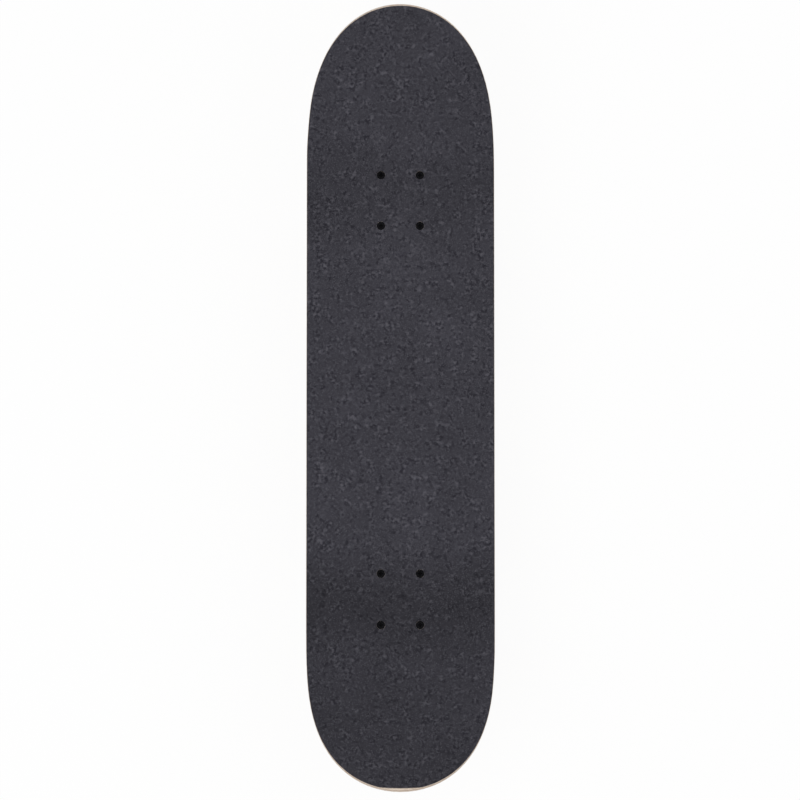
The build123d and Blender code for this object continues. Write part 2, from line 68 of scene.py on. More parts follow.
def addNode(tree, kind, inputs=None, **settings):
    node = tree.nodes.new(kind)
    for name, value in settings.items():
        setattr(node, name, value)
    for socket, value in (inputs or {}).items():
        if isinstance(value, bpy.types.NodeSocket):
            tree.links.new(value, node.inputs[socket])
        else:
            node.inputs[socket].default_value = value
    return node


# camera, soft lamps, surround and floor
studio = {
    "distance": 2.6,          # camera to the deck
    "elevation": 87.5,
    "viewWidth": 0.8465,      # width of the view at the deck
    "aim": (-0.0005, -0.0029, 0.0899),
    "ambient": 0.42,
    # large soft lamps, out of the camera's sight: watts, width and place in metres
    "lamps": {
        "keyLamp": (30.0, 1.8, (-1.3, -0.9, 2.1)),
        "fillLamp": (13.0, 1.6, (1.7, -0.3, 1.7)),
        "backLamp": (12.0, 1.4, (0.2, 1.9, 1.6)),
    },
}

# matt pale paint, and how white it looks to the camera: least under the board, where
# the shadow lies. Lengths in metres.
floorLook = {
    "paint": "f4f4f4",
    "reach": 9.0,
    "across": 0.03,           # half the shaded strip
    "along": 0.33,
    "edge": 0.07,             # over which the strip ends
    "underBoard": 0.6,
    "beyond": 0.93,
    "fadeStart": 0.3,
    "fadeEnd": 2.2,
}


def makeStudio():
    scene = bpy.context.scene
    aim = Vector(studio["aim"])
    tilt = math.radians(studio["elevation"])
    back = Vector((0, -math.cos(tilt), math.sin(tilt)))
    lens = bpy.data.cameras.new("camera")
    lens.sensor_width = 36.0
    lens.lens = 36.0 * studio["distance"] / studio["viewWidth"]
    lens.clip_end = 60.0
    camera = bpy.data.objects.new("camera", lens)
    camera.location = aim + back * studio["distance"]
    camera.rotation_euler = (math.pi / 2 - tilt, 0, 0)
    scene.collection.objects.link(camera)
    scene.camera = camera

    for name, (power, size, place) in studio["lamps"].items():
        lamp = bpy.data.lights.new(name, "AREA")
        lamp.energy = power
        lamp.size = size
        holder = bpy.data.objects.new(name, lamp)
        holder.location = place
        holder.rotation_euler = (-Vector(place)).to_track_quat("-Z", "Y").to_euler()
        holder.visible_camera = False
        scene.collection.objects.link(holder)

    # a white surround that camera, glossy and transmission rays see at strength 1
    world = bpy.data.worlds.new("surround")
    scene.world = world
    world.use_nodes = True
    tree = world.node_tree
    tree.nodes.clear()
    rays = addNode(tree, "ShaderNodeLightPath")
    seen = addNode(tree, "ShaderNodeMath", {0: rays.outputs["Is Camera Ray"],
                   1: rays.outputs["Is Glossy Ray"]}, operation="MAXIMUM")
    seen = addNode(tree, "ShaderNodeMath", {0: seen.outputs[0],
                   1: rays.outputs["Is Transmission Ray"]}, operation="MAXIMUM")
    strength = addNode(tree, "ShaderNodeMapRange",
                       {"Value": seen.outputs[0], "To Min": studio["ambient"], "To Max": 1.0})
    glow = addNode(tree, "ShaderNodeBackground", {"Color": (1.0, 1.0, 1.0, 1.0),
                   "Strength": strength.outputs[0]})
    addNode(tree, "ShaderNodeOutputWorld", {"Surface": glow.outputs[0]})

    # pale floor: it takes the shadow under the board and fades into the surround
    mesh = bpy.data.meshes.new("floor")
    reach = floorLook["reach"]
    mesh.from_pydata([(-reach, -reach, 0), (reach, -reach, 0), (reach, reach, 0),
                      (-reach, reach, 0)], [], [(0, 1, 2, 3)])
    floor = bpy.data.objects.new("floor", mesh)
    scene.collection.objects.link(floor)
    paint = bpy.data.materials.new("paintedFloor")
    paint.use_nodes = True
    tree = paint.node_tree
    tree.nodes.clear()
    place = addNode(tree, "ShaderNodeTexCoord")
    near = addNode(tree, "ShaderNodeVectorMath", {0: place.outputs["Object"]},
                   operation="ABSOLUTE")
    near = addNode(tree, "ShaderNodeVectorMath", {0: near.outputs[0],
                   1: (floorLook["across"], floorLook["along"], 0.0)}, operation="SUBTRACT")
    near = addNode(tree, "ShaderNodeVectorMath", {0: near.outputs[0]}, operation="MAXIMUM")
    near = addNode(tree, "ShaderNodeVectorMath", {0: near.outputs[0]}, operation="LENGTH")
    rim = addNode(tree, "ShaderNodeMapRange",
                  {"Value": near.outputs["Value"], "From Max": floorLook["edge"],
                   "To Min": floorLook["underBoard"], "To Max": floorLook["beyond"]},
                  interpolation_type="SMOOTHSTEP")
    fade = addNode(tree, "ShaderNodeMapRange",
                   {"Value": near.outputs["Value"], "From Min": floorLook["fadeStart"],
                    "From Max": floorLook["fadeEnd"], "To Min": rim.outputs[0],
                    "To Max": 1.0}, interpolation_type="SMOOTHSTEP")
    rays = addNode(tree, "ShaderNodeLightPath")
    seen = addNode(tree, "ShaderNodeMath", {0: rays.outputs["Is Camera Ray"],
                   1: rays.outputs["Is Glossy Ray"]}, operation="MAXIMUM")
    share = addNode(tree, "ShaderNodeMath", {0: fade.outputs[0], 1: seen.outputs[0]},
                    operation="MULTIPLY")
    matt = addNode(tree, "ShaderNodeBsdfDiffuse", {"Color": linear(floorLook["paint"])})
    white = addNode(tree, "ShaderNodeEmission", {"Color": (1.0, 1.0, 1.0, 1.0)})
    blend = addNode(tree, "ShaderNodeMixShader", {0: share.outputs[0],
                    1: matt.outputs[0], 2: white.outputs[0]})
    # from below the floor is clear, so that the underside can be looked at
    facing = addNode(tree, "ShaderNodeNewGeometry")
    clear = addNode(tree, "ShaderNodeBsdfTransparent")
    blend = addNode(tree, "ShaderNodeMixShader", {0: facing.outputs["Backfacing"],
                    1: blend.outputs[0], 2: clear.outputs[0]})
    addNode(tree, "ShaderNodeOutputMaterial", {"Surface": blend.outputs[0]})
    mesh.materials.append(paint)
    scene.view_settings.view_transform = "Standard"


makeStudio()
print("studio ready")


def startFinish(name):
    material = bpy.data.materials.new(name)
    material.use_nodes = True
    tree = material.node_tree
    tree.nodes.clear()
    shader = addNode(tree, "ShaderNodeBsdfPrincipled")
    addNode(tree, "ShaderNodeOutputMaterial", {"Surface": shader.outputs[0]})
    place = addNode(tree, "ShaderNodeTexCoord")
    return material, tree, shader, place


# the two noises added together lie between these
noiseLow, noiseHigh = 0.7, 1.3
driftWidth = 18.0             # mm across the slow drift of tone


def finish(name, look):
    # one surface: a slow drift of tone, a fine grain, and the roughness and relief from both
    material, tree, shader, place = startFinish(name)
    grain = addNode(tree, "ShaderNodeMapping", {"Vector": place.outputs["Object"],
                    "Scale": tuple(1 / (s * mm) for s in look["grain"])})
    fine = addNode(tree, "ShaderNodeTexNoise", {"Vector": grain.outputs[0], "Scale": 1.0,
                   "Detail": 4.0, "Roughness": 0.6})
    drift = addNode(tree, "ShaderNodeTexNoise", {"Vector": place.outputs["Object"],
                    "Scale": 1 / (driftWidth * mm), "Detail": 2.0})
    both = addNode(tree, "ShaderNodeMath", {0: fine.outputs[0], 1: drift.outputs[0]},
                   operation="ADD")
    tone = addNode(tree, "ShaderNodeMapRange", {"Value": both.outputs[0],
                   "From Min": noiseLow, "From Max": noiseHigh})
    colour = addNode(tree, "ShaderNodeMix", {0: tone.outputs[0], 6: linear(look["dark"]),
                     7: linear(look["light"])}, data_type="RGBA")
    rough = addNode(tree, "ShaderNodeMapRange", {"Value": both.outputs[0],
                    "From Min": noiseLow, "From Max": noiseHigh,
                    "To Min": look["rough"][0], "To Max": look["rough"][1]})
    relief = addNode(tree, "ShaderNodeBump", {"Height": fine.outputs[0],
                     "Strength": 1.0, "Distance": look["relief"] * mm})
    tree.links.new(colour.outputs[2], shader.inputs["Base Color"])
    tree.links.new(rough.outputs[0], shader.inputs["Roughness"])
    tree.links.new(relief.outputs[0], shader.inputs["Normal"])
    for socket, value in look.get("shader", {}).items():
        shader.inputs[socket].default_value = value
    return material


# grip sheet: silicon carbide grit glued on a black plastic film; matt and dark, with
# a painted highlight on the few grains that would catch the light. Real grit is 0.2 mm,
# too fine to show from afar, so a second layer of speckle is drawn 3 mm wide.
gripLook = {
    "dark": "24232a",
    "light": "504f56",
    "lean": 1.6,          # above 1, light flecks are sharper than dark ones
    # painted highlight colour of those grains
    "glint": "605f66",
    "glinting": 0.96,     # all but this share of the grains is dull
    "grit": 0.34,         # widths in mm
    "speckle": 3.2,
    "patch": 9.0,         # areas of closer and thinner grit
    "patchSpread": (0.42, 0.7),   # the noise that makes them runs between these
    "patchGain": (0.3, 2.4),
    "drift": 60.0,
    "driftShade": (0.9, 1.08),
    "gritRelief": 0.12,
    "speckleRelief": 0.3,
    "roughness": 0.88,
    "specular": 0.15,
    # painted shade: darker across the bends of the kicks by the truck bolts, and towards the
    # tail; places and reaches in mm along Y
    "bendShades": (
        {"place": 219.0, "reach": 70.0, "left": 0.83},
        {"place": -221.0, "reach": 76.0, "left": 0.7},
    ),
    "tailShade": {"start": -100.0, "end": -400.0, "unshaded": 1.04, "shadeAtTail": 0.8},
}


def makeGripFinish():
    look = gripLook
    material, tree, shader, place = startFinish("siliconCarbideGrip")
    spot = place.outputs["Object"]
    speckle = addNode(tree, "ShaderNodeTexNoise", {"Vector": spot,
                      "Scale": 1 / (look["speckle"] * mm), "Detail": 1.5, "Roughness": 0.5})
    grit = addNode(tree, "ShaderNodeTexVoronoi", {"Vector": spot,
                   "Scale": 1 / (look["grit"] * mm)})
    drift = addNode(tree, "ShaderNodeTexNoise", {"Vector": spot,
                    "Scale": 1 / (look["drift"] * mm), "Detail": 2.0})
    patch = addNode(tree, "ShaderNodeTexNoise", {"Vector": spot,
                    "Scale": 1 / (look["patch"] * mm), "Detail": 1.0})
    gain = addNode(tree, "ShaderNodeMapRange", {"Value": patch.outputs[0],
                   "From Min": look["patchSpread"][0], "From Max": look["patchSpread"][1],
                   "To Min": look["patchGain"][0], "To Max": look["patchGain"][1]})
    centred = addNode(tree, "ShaderNodeMath", {0: speckle.outputs[0], 1: 0.5},
                      operation="SUBTRACT")
    tone = addNode(tree, "ShaderNodeMath", {0: centred.outputs[0], 1: gain.outputs[0],
                   2: 0.5}, operation="MULTIPLY_ADD")
    tone = addNode(tree, "ShaderNodeMapRange", {"Value": tone.outputs[0],
                   "From Min": 0.1, "From Max": 0.9})
    tone = addNode(tree, "ShaderNodeMath", {0: tone.outputs[0], 1: look["lean"]},
                   operation="POWER")
    colour = addNode(tree, "ShaderNodeMix", {0: tone.outputs[0], 6: linear(look["dark"]),
                     7: linear(look["light"])}, data_type="RGBA")
    shade = addNode(tree, "ShaderNodeMapRange", {"Value": drift.outputs[0],
                    "From Min": 0.3, "From Max": 0.7, "To Min": look["driftShade"][0],
                    "To Max": look["driftShade"][1]})
    along = addNode(tree, "ShaderNodeSeparateXYZ", {0: spot})
    # painted shade, darker towards the tail
    shadeAtTail = look["tailShade"]
    wearAndShade = addNode(tree, "ShaderNodeMapRange", {"Value": along.outputs["Y"],
                   "From Min": shadeAtTail["start"] * mm, "From Max": shadeAtTail["end"] * mm,
                   "To Min": shadeAtTail["unshaded"], "To Max": shadeAtTail["shadeAtTail"]},
                   interpolation_type="SMOOTHSTEP")
    # painted shade across each bend of the kicks
    for mark in look["bendShades"]:
        away = addNode(tree, "ShaderNodeMath", {0: along.outputs["Y"],
                       1: mark["place"] * mm}, operation="SUBTRACT")
        away = addNode(tree, "ShaderNodeMath", {0: away.outputs[0]}, operation="ABSOLUTE")
        foot = addNode(tree, "ShaderNodeMapRange", {"Value": away.outputs[0],
                       "From Max": mark["reach"] * mm, "To Min": mark["left"],
                       "To Max": 1.0}, interpolation_type="SMOOTHSTEP")
        wearAndShade = addNode(tree, "ShaderNodeMath", {0: wearAndShade.outputs[0], 1: foot.outputs[0]},
                       operation="MULTIPLY")
    shade = addNode(tree, "ShaderNodeMath", {0: shade.outputs[0], 1: wearAndShade.outputs[0]},
                    operation="MULTIPLY")
    colour = addNode(tree, "ShaderNodeVectorMath", {0: colour.outputs[2],
                     "Scale": shade.outputs[0]}, operation="SCALE")
    # painted highlight: the few grains that would lie flat to the light are given a lighter
    # colour
    paintedGlint = addNode(tree, "ShaderNodeSeparateColor", {0: grit.outputs["Color"]})
    paintedGlint = addNode(tree, "ShaderNodeMath", {0: paintedGlint.outputs[0], 1: look["glinting"]},
                  operation="GREATER_THAN")
    colour = addNode(tree, "ShaderNodeMix", {0: paintedGlint.outputs[0], 6: colour.outputs[0],
                     7: linear(look["glint"])}, data_type="RGBA")
    relief = addNode(tree, "ShaderNodeBump", {"Height": grit.outputs["Distance"],
                     "Strength": 0.8, "Distance": look["gritRelief"] * mm})
    relief = addNode(tree, "ShaderNodeBump", {"Height": speckle.outputs[0], "Strength": 0.6,
                     "Distance": look["speckleRelief"] * mm, "Normal": relief.outputs[0]})
    tree.links.new(colour.outputs[2], shader.inputs["Base Color"])
    tree.links.new(relief.outputs[0], shader.inputs["Normal"])
    shader.inputs["Roughness"].default_value = look["roughness"]
    shader.inputs["Specular IOR Level"].default_value = look["specular"]
    return material


# sugar-maple veneer, cut to 1.6 mm and sanded at the rim: pale fibres along the ply,
# with short brown flecks; the two cross plies show their ends at the deck's sides
veneerLook = {
    "core": {"dark": "b09a88", "light": "cebaa8", "along": "Y"},
    "cross": {"dark": "97795f", "light": "b5987c", "along": "X"},
    "face": {"dark": "cab7a6", "light": "e3d4c4", "along": "Y"},
}
# thickness, length and height of a fibre and of a growth ring, in mm
veneerGrain = {
    "fibre": (0.45, 22.0, 0.35),
    "ring": (5.0, 120.0, 1.4),
    "relief": 0.05,
    "rough": (0.5, 0.68),
}


def makeVeneerFinish(name, look):
    along = look["along"] == "Y"
    material, tree, shader, place = startFinish(name)
    spot = place.outputs["Object"]
    fibre, ring = veneerGrain["fibre"], veneerGrain["ring"]
    if not along:
        fibre, ring = (fibre[1], fibre[0], fibre[2]), (ring[1], ring[0], ring[2])
    scaled = addNode(tree, "ShaderNodeMapping", {"Vector": spot,
                     "Scale": tuple(1 / (s * mm) for s in fibre)})
    fibres = addNode(tree, "ShaderNodeTexNoise", {"Vector": scaled.outputs[0], "Scale": 1.0,
                     "Detail": 4.0, "Roughness": 0.65})
    scaled = addNode(tree, "ShaderNodeMapping", {"Vector": spot,
                     "Scale": tuple(1 / (s * mm) for s in ring)})
    rings = addNode(tree, "ShaderNodeTexNoise", {"Vector": scaled.outputs[0], "Scale": 1.0,
                    "Detail": 2.0})
    both = addNode(tree, "ShaderNodeMath", {0: fibres.outputs[0], 1: rings.outputs[0]},
                   operation="ADD")
    tone = addNode(tree, "ShaderNodeMapRange", {"Value": both.outputs[0],
                   "From Min": 0.72, "From Max": 1.28})
    colour = addNode(tree, "ShaderNodeMix", {0: tone.outputs[0], 6: linear(look["dark"]),
                     7: linear(look["light"])}, data_type="RGBA")
    relief = addNode(tree, "ShaderNodeBump", {"Height": fibres.outputs[0],
                     "Strength": 0.7, "Distance": veneerGrain["relief"] * mm})
    rough = addNode(tree, "ShaderNodeMapRange", {"Value": fibres.outputs[0],
                    "To Min": veneerGrain["rough"][0], "To Max": veneerGrain["rough"][1]})
    tree.links.new(colour.outputs[2], shader.inputs["Base Color"])
    tree.links.new(rough.outputs[0], shader.inputs["Roughness"])
    tree.links.new(relief.outputs[0], shader.inputs["Normal"])
    return material


# bottom veneer: rotary-cut maple under clear lacquer. Wide wandering figure along the
# deck, fine fibres in it, and a clear coat that keeps sharp highlights.
bottomLook = {
    "dark": "c3a684",
    "light": "dfc8a8",
    "figure": 11.0,       # between the bands; lengths in mm
    "wander": (38.0, 210.0),
    "swing": 62.0,        # how far the bands wander sideways
    "fibre": (0.5, 26.0),
    "relief": 0.04,
    "roughness": 0.42,
    "coat": 0.55,
    "coatRoughness": 0.14,
}


def makeBottomFinish():
    look = bottomLook
    material, tree, shader, place = startFinish("lacqueredMaple")
    spot = place.outputs["Object"]
    slow = addNode(tree, "ShaderNodeMapping", {"Vector": spot,
                   "Scale": tuple(1 / (s * mm) for s in look["wander"]) + (0.0,)})
    wander = addNode(tree, "ShaderNodeTexNoise", {"Vector": slow.outputs[0], "Scale": 1.0,
                     "Detail": 3.0, "Roughness": 0.45})
    across = addNode(tree, "ShaderNodeSeparateXYZ", {0: spot})
    lift = addNode(tree, "ShaderNodeMath", {0: wander.outputs[0], 1: look["swing"] * mm},
                   operation="MULTIPLY")
    bent = addNode(tree, "ShaderNodeMath", {0: across.outputs[0], 1: lift.outputs[0]},
                   operation="ADD")
    turns = addNode(tree, "ShaderNodeMath", {0: bent.outputs[0],
                    1: 2 * math.pi / (look["figure"] * mm)}, operation="MULTIPLY")
    band = addNode(tree, "ShaderNodeMath", {0: turns.outputs[0]}, operation="SINE")
    thin = addNode(tree, "ShaderNodeMapping", {"Vector": spot,
                   "Scale": tuple(1 / (s * mm) for s in look["fibre"]) + (0.0,)})
    fibres = addNode(tree, "ShaderNodeTexNoise", {"Vector": thin.outputs[0], "Scale": 1.0,
                     "Detail": 4.0, "Roughness": 0.65})
    tone = addNode(tree, "ShaderNodeMapRange", {"Value": band.outputs[0], "From Min": -1.0,
                   "From Max": 1.0, "To Min": 0.42, "To Max": 0.66})
    mixed = addNode(tree, "ShaderNodeMath", {0: tone.outputs[0], 1: fibres.outputs[0]},
                    operation="MULTIPLY")
    share = addNode(tree, "ShaderNodeMapRange", {"Value": mixed.outputs[0],
                    "From Min": 0.08, "From Max": 0.42})
    colour = addNode(tree, "ShaderNodeMix", {0: share.outputs[0], 6: linear(look["dark"]),
                     7: linear(look["light"])}, data_type="RGBA")
    relief = addNode(tree, "ShaderNodeBump", {"Height": fibres.outputs[0],
                     "Strength": 0.4, "Distance": look["relief"] * mm})
    tree.links.new(colour.outputs[2], shader.inputs["Base Color"])
    tree.links.new(relief.outputs[0], shader.inputs["Normal"])
    shader.inputs["Roughness"].default_value = look["roughness"]
    shader.inputs["Coat Weight"].default_value = look["coat"]
    shader.inputs["Coat Roughness"].default_value = look["coatRoughness"]
    return material


# cast polyurethane wheel: creamy and slightly see-through at the rim, moulded smooth on
# its sides, with a lathe-cut tread of fine rings
wheelLook = {
    "dark": "e9e4d6",
    "light": "f5f2e8",
    "ringPitch": 0.7,     # between the lathe's rings; lengths in mm
    "ringRelief": 0.03,
    "cloud": 14.0,
    "skin": 0.9,
    "skinRelief": 0.02,
    "rough": (0.3, 0.55),     # moulded side, turned tread
    "subsurface": 0.2,
    "subsurfaceDepth": 2.5,
    "subsurfaceRadius": (1.0, 0.8, 0.55),
}


def makeWheelFinish():
    look = wheelLook
    material, tree, shader, place = startFinish("castUrethaneWheel")
    spot = place.outputs["Object"]
    cloud = addNode(tree, "ShaderNodeTexNoise", {"Vector": spot,
                    "Scale": 1 / (look["cloud"] * mm), "Detail": 3.0})
    fine = addNode(tree, "ShaderNodeTexNoise", {"Vector": spot,
                   "Scale": 1 / (look["skin"] * mm), "Detail": 3.0})
    side = addNode(tree, "ShaderNodeSeparateXYZ", {0: place.outputs["Normal"]})
    lean = addNode(tree, "ShaderNodeMath", {0: side.outputs[0]}, operation="ABSOLUTE")
    tread = addNode(tree, "ShaderNodeMapRange", {"Value": lean.outputs[0], "From Min": 0.04,
                    "From Max": 0.22, "To Min": 1.0, "To Max": 0.0})
    along = addNode(tree, "ShaderNodeSeparateXYZ", {0: spot})
    turns = addNode(tree, "ShaderNodeMath", {0: along.outputs[0],
                    1: 2 * math.pi / (look["ringPitch"] * mm)}, operation="MULTIPLY")
    rings = addNode(tree, "ShaderNodeMath", {0: turns.outputs[0]}, operation="SINE")
    rings = addNode(tree, "ShaderNodeMath", {0: rings.outputs[0], 1: tread.outputs[0]},
                    operation="MULTIPLY")
    tone = addNode(tree, "ShaderNodeMapRange", {"Value": cloud.outputs[0], "From Min": 0.3,
                   "From Max": 0.7})
    colour = addNode(tree, "ShaderNodeMix", {0: tone.outputs[0], 6: linear(look["dark"]),
                     7: linear(look["light"])}, data_type="RGBA")
    rough = addNode(tree, "ShaderNodeMapRange", {"Value": tread.outputs[0],
                    "To Min": look["rough"][0], "To Max": look["rough"][1]})
    relief = addNode(tree, "ShaderNodeBump", {"Height": rings.outputs[0], "Strength": 0.5,
                     "Distance": look["ringRelief"] * mm})
    relief = addNode(tree, "ShaderNodeBump", {"Height": fine.outputs[0], "Strength": 0.4,
                     "Distance": look["skinRelief"] * mm, "Normal": relief.outputs[0]})
    tree.links.new(colour.outputs[2], shader.inputs["Base Color"])
    tree.links.new(rough.outputs[0], shader.inputs["Roughness"])
    tree.links.new(relief.outputs[0], shader.inputs["Normal"])
    shader.inputs["Subsurface Weight"].default_value = look["subsurface"]
    shader.inputs["Subsurface Radius"].default_value = look["subsurfaceRadius"]
    shader.inputs["Subsurface Scale"].default_value = look["subsurfaceDepth"] * mm
    return material


plain = {"Metallic": 1.0}
finishLooks = {
    # sand-cast aluminium, tumbled: a soft grey skin with a faint orange-peel grain
    "tumbledAluminium": {"dark": "a9abae", "light": "c3c5c8", "grain": (1.1, 1.1, 1.1),
                         "rough": (0.34, 0.5), "relief": 0.035, "shader": plain},
    # the hanger's casting is polished along the axle: brighter, with fine lines
    "polishedAluminium": {"dark": "b9bbbe", "light": "d2d4d6", "grain": (9.0, 0.35, 0.35),
                          "rough": (0.2, 0.34), "relief": 0.012, "shader": plain},
    # zinc-plated steel: cool grey, evenly bright
    "zincPlatedSteel": {"dark": "a2a6ab", "light": "c0c3c6", "grain": (0.8, 0.8, 0.8),
                        "rough": (0.24, 0.36), "relief": 0.01, "shader": plain},
    # black-oxide steel screws: near black with a dull sheen
    "blackOxideSteel": {"dark": "0b0b0c", "light": "161618", "grain": (0.5, 0.5, 0.5),
                        "rough": (0.34, 0.5), "relief": 0.01, "shader": plain},
    # cold-drawn axle steel, ground round the bar
    "groundSteel": {"dark": "a4a5a8", "light": "c2c3c5", "grain": (0.25, 5.0, 5.0),
                    "rough": (0.22, 0.34), "relief": 0.008, "shader": plain},
    # hardened bearing steel, ground and polished
    "polishedSteel": {"dark": "c4c5c8", "light": "dcdddf", "grain": (0.6, 0.6, 0.6),
                      "rough": (0.1, 0.18), "relief": 0.003, "shader": plain},
    # pressed steel shield with a dull skin
    "pressedShield": {"dark": "8e9094", "light": "a9abae", "grain": (0.5, 0.5, 0.5),
                      "rough": (0.3, 0.42), "relief": 0.008, "shader": plain},
    # natural nylon: milky, soft sheen
    "mouldedNylon": {"dark": "d9d4c4", "light": "ebe7da", "grain": (0.9, 0.9, 0.9),
                     "rough": (0.42, 0.55), "relief": 0.01,
                     "shader": {"Subsurface Weight": 0.2, "Subsurface Scale": 0.001}},
    # dense black polyurethane pivot cup
    "mouldedUrethane": {"dark": "1d1d1f", "light": "2b2b2e", "grain": (0.8, 0.8, 0.8),
                        "rough": (0.36, 0.48), "relief": 0.01, "shader": {}},
    # cast polyurethane bushings: charcoal rubber with a satin skin
    "castBushing": {"dark": "2f2f32", "light": "434347", "grain": (1.2, 1.2, 0.6),
                    "rough": (0.4, 0.56), "relief": 0.02, "shader": {}},
}
finishes = {name: finish(name, look) for name, look in finishLooks.items()}
finishes["siliconCarbideGrip"] = makeGripFinish()
finishes["lacqueredMaple"] = makeBottomFinish()
finishes["castUrethaneWheel"] = makeWheelFinish()
finishes["maplePly"] = makeVeneerFinish("maplePly", veneerLook["core"])
finishes["mapleCrossPly"] = makeVeneerFinish("mapleCrossPly", veneerLook["cross"])
finishes["mapleFacePly"] = makeVeneerFinish("mapleFacePly", veneerLook["face"])
print("finishes ready:", len(finishes))

# which finish each carried-over node wears, by the end of its name
nodeFinishes = {
    "deck_ply_1_face": "mapleFacePly",
    "deck_ply_2_cross": "mapleCrossPly",
    "deck_ply_3_core": "maplePly",
    "deck_ply_4_core": "mapleFacePly",
    "deck_ply_5_core": "maplePly",
    "deck_ply_6_cross": "mapleCrossPly",
    "deck_ply_7_bottom": "lacqueredMaple",
    "grip_tape": "siliconCarbideGrip",
    "deck_bolts": "blackOxideSteel",
    "deck_lock_nuts": "blackOxideSteel",
    "baseplate": "tumbledAluminium",
    "hanger": "polishedAluminium",
    "pivot_cup": "mouldedUrethane",
    "kingpin": "zincPlatedSteel",
    "kingpin_nut": "zincPlatedSteel",
    "barrel_bushing": "castBushing",
    "cone_bushing": "castBushing",
    "board_side_cup_washer": "zincPlatedSteel",
    "road_side_cup_washer": "zincPlatedSteel",
    "axle": "groundSteel",
    "axle_nuts": "zincPlatedSteel",
    "speed_washers": "zincPlatedSteel",
    "inner_rings": "polishedSteel",
    "outer_rings": "polishedSteel",
    "bearing_spacers": "zincPlatedSteel",
    "balls": "polishedSteel",
    "cages": "mouldedNylon",
    "shields": "pressedShield",
    "wheel": "castUrethaneWheel",
}


def dressNodes():
    for name, node in nodes.items():
        key = name
        for start in ("front_", "rear_", "left_", "right_"):
            key = key.removeprefix(start)
        node.data.materials.clear()
        node.data.materials.append(finishes[nodeFinishes[key]])


dressNodes()
print("nodes dressed")


# shared steps for the pieces made here
def bakeObject(obj):
    graph = bpy.context.evaluated_depsgraph_get()
    mesh = bpy.data.meshes.new_from_object(obj.evaluated_get(graph), depsgraph=graph)
    mesh.name = obj.name
    obj.modifiers.clear()
    obj.data = mesh
    return obj


def runTree(obj, tree, values):
    modifier = obj.modifiers.new(tree.name, "NODES")
    modifier.node_group = tree
    for socket in tree.interface.items_tree:
        if socket.item_type == "SOCKET" and socket.in_out == "INPUT" and socket.name in values:
            modifier[socket.identifier] = values[socket.name]
    return bakeObject(obj)


def startTree(name, sockets):
    tree = bpy.data.node_groups.new(name, "GeometryNodeTree")
    tree.interface.new_socket("Geometry", in_out="INPUT", socket_type="NodeSocketGeometry")
    for label, kind in sockets.items():
        tree.interface.new_socket(label, in_out="INPUT", socket_type=kind)
    tree.interface.new_socket("Geometry", in_out="OUTPUT", socket_type="NodeSocketGeometry")
    return tree, tree.nodes.new("NodeGroupInput")


def endTree(tree, shape, material):
    real = addNode(tree, "GeometryNodeRealizeInstances", {"Geometry": shape})
    dressed = addNode(tree, "GeometryNodeSetMaterial", {"Geometry": real.outputs[0],
                      "Material": material})
    addNode(tree, "NodeGroupOutput", {"Geometry": dressed.outputs[0]})
    return tree


def mergedCopy(node, name):
    mesh = nodes[node].data.copy()
    mesh.name = name
    work = bmesh.new()
    work.from_mesh(mesh)
    bmesh.ops.remove_doubles(work, verts=work.verts, dist=0.002 * mm)
    work.to_mesh(mesh)
    work.free()
    for extra in ("custom_normal", "sharp_edge", "sharp_face"):
        if extra in mesh.attributes:
            mesh.attributes.remove(mesh.attributes[extra])
    obj = bpy.data.objects.new(name, mesh)
    bpy.context.scene.collection.objects.link(obj)
    return obj


def spotMesh(name, spots):
    # a point for each repeat, with the way it faces as an attribute
    mesh = bpy.data.meshes.new(name)
    mesh.from_pydata([place for place, way in spots], [], [])
    facing = mesh.attributes.new("facing", "FLOAT_VECTOR", "POINT")
    for item, (place, way) in zip(facing.data, spots):
        item.vector = way
    obj = bpy.data.objects.new(name, mesh)
    bpy.context.scene.collection.objects.link(obj)
    return obj


def atSpots(tree, given, shape):
    # the shape, once at each point, its Z turned to the way the point faces
    facing = addNode(tree, "GeometryNodeInputNamedAttribute", {"Name": "facing"},
                     data_type="FLOAT_VECTOR")
    turn = addNode(tree, "FunctionNodeAlignRotationToVector",
                   {"Vector": facing.outputs[0]}, axis="Z")
    placed = addNode(tree, "GeometryNodeInstanceOnPoints",
                     {"Points": given.outputs["Geometry"], "Instance": shape,
                      "Rotation": turn.outputs[0]})
    return placed.outputs[0]


def truckPoint(end, point):
    # a point given from the axle's middle, +Y away from the board's middle, in millimetres
    hand = ends[end]
    y = layout["boltMiddle"] + hand * (layout["boltRow"] + point[1])
    return Vector((hand * point[0], y, layout["axleHeight"] + point[2])) * mm


def truckWay(end, way):
    return Vector((ends[end] * way[0], ends[end] * way[1], way[2]))


def boltSpots():
    spots = []
    for hand in ends.values():
        for along in (-0.5, 0.5):
            for across in (-0.5, 0.5):
                y = layout["boltMiddle"] + hand * layout["boltRow"] + along * layout["boltAlong"]
                spots.append((across * layout["boltAcross"], y))
    return spots


# grip sheet, scuffed back at the tail's tip, where the board drags when it is stopped
scuffLook = {
    "halfWidth": 24.0,    # lengths in mm
    "depth": 1.7,         # from the sheet's end, in the middle
    "endDepth": 2.7,      # and at both ends of the scuff
    "ragged": 0.16,
    "raggedTurns": (41.0, 97.0),
    "past": 3.0,          # how far the cutter reaches past the sheet
    "drop": 30.0,         # and below and above its highest point
    "rise": 10.0,
    "steps": 60,
}


